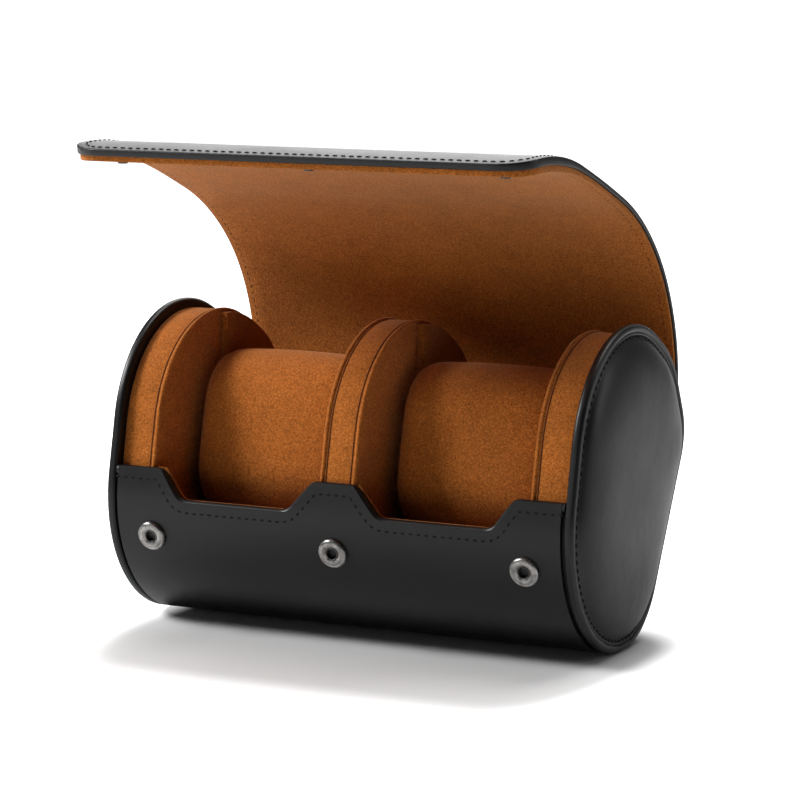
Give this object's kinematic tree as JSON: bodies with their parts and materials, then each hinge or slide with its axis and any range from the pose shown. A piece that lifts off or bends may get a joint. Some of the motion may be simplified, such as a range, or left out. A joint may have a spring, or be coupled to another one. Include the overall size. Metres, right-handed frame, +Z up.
{
  "type": "watch travel case",
  "caption": "Rounded leather watch roll with an uncurling hood lid, snap front flap, padded ends and divider, and lift-out suede watch cushions.",
  "frame": {"origin": "middle of the small flat under the belly that the case stands on", "axes": "+X along the length to the right as the user faces the snaps, +Y to the back where the hood hangs, +Z up"},
  "size_m": [0.1778, 0.1268, 0.1627],
  "materials": {
    "black_leather": "smooth, semi-gloss",
    "suede": "napped microfibre suede",
    "board": "plain fibreboard",
    "foam": "open-cell foam",
    "gunmetal": "dark plated, satin"
  },
  "bodies": {
    "case": {"shell_leather": "black_leather", "shell_board": "board", "shell_lining": "suede", "left_rim": "black_leather", "right_rim": "black_leather", "left_cap_board": "board", "right_cap_board": "board", "left_cap_foam": "foam", "right_cap_foam": "foam", "left_cap_leather": "black_leather", "right_cap_leather": "black_leather", "left_end_pad": "foam", "right_end_pad": "foam", "left_end_band": "suede", "right_end_band": "suede", "left_end_face": "suede", "right_end_face": "suede", "left_guide": "suede", "right_guide": "suede", "divider_core": "foam", "divider_band": "suede", "divider_left_face": "suede", "divider_right_face": "suede", "divider_left_guide": "suede", "divider_right_guide": "suede", "left_cradle": "suede", "right_cradle": "suede", "snap_sockets": "gunmetal", "snap_springs": "gunmetal", "snap_posts": "gunmetal"},
    "hood_rear": {"hood_rear_leather": "black_leather", "hood_rear_board": "board", "hood_rear_lining": "suede"},
    "hood_back": {"hood_back_leather": "black_leather", "hood_back_board": "board", "hood_back_lining": "suede"},
    "hood_top": {"hood_top_leather": "black_leather", "hood_top_board": "board", "hood_top_lining": "suede"},
    "hood_front": {"hood_front_leather": "black_leather", "hood_front_board": "board", "hood_front_lining": "suede"},
    "flap": {"flap_leather": "black_leather", "flap_board": "board", "flap_lining": "suede", "flap_studs": "gunmetal", "flap_rivets": "gunmetal"},
    "left_cushion": {"left_cushion_cover": "suede", "left_cushion_core": "foam"},
    "right_cushion": {"right_cushion_cover": "suede", "right_cushion_core": "foam"}
  },
  "joints": [
    {"name": "hood_hinge", "type": "hinge", "parent": "case", "child": "hood_rear", "pos_m": [0, 0.05083, 0.06222], "axis": [-1, 0, 0], "range_deg": [-27.1, 8]},
    {"name": "hood_bend_back", "type": "hinge", "parent": "hood_rear", "child": "hood_back", "pos_m": [0, 0.05039, 0.09881], "axis": [-1, 0, 0], "range_deg": [-12.6, 3.68]},
    {"name": "hood_bend_top", "type": "hinge", "parent": "hood_back", "child": "hood_top", "pos_m": [0, 0.03325, 0.12653], "axis": [-1, 0, 0], "range_deg": [-19.03, 5.56]},
    {"name": "hood_bend_front", "type": "hinge", "parent": "hood_top", "child": "hood_front", "pos_m": [0, 0.00478, 0.14554], "axis": [-1, 0, 0], "range_deg": [-17.64, 5.16]},
    {"name": "flap_fold", "type": "hinge", "parent": "hood_front", "child": "flap", "pos_m": [0, -0.02991, 0.156], "axis": [-1, 0, 0], "range_deg": [-22.1, 4]},
    {"name": "left_cushion_lift", "type": "slide", "parent": "case", "child": "left_cushion", "axis": [0, -0.6, 0.8], "range_m": [0, 0.07]},
    {"name": "right_cushion_lift", "type": "slide", "parent": "case", "child": "right_cushion", "axis": [0, -0.6, 0.8], "range_m": [0, 0.07]}
  ],
  "couplings": [
    {"joint": "hood_bend_top", "follows": "hood_bend_back", "ratio": 1.51},
    {"joint": "hood_bend_front", "follows": "hood_bend_back", "ratio": 1.4}
  ]
}
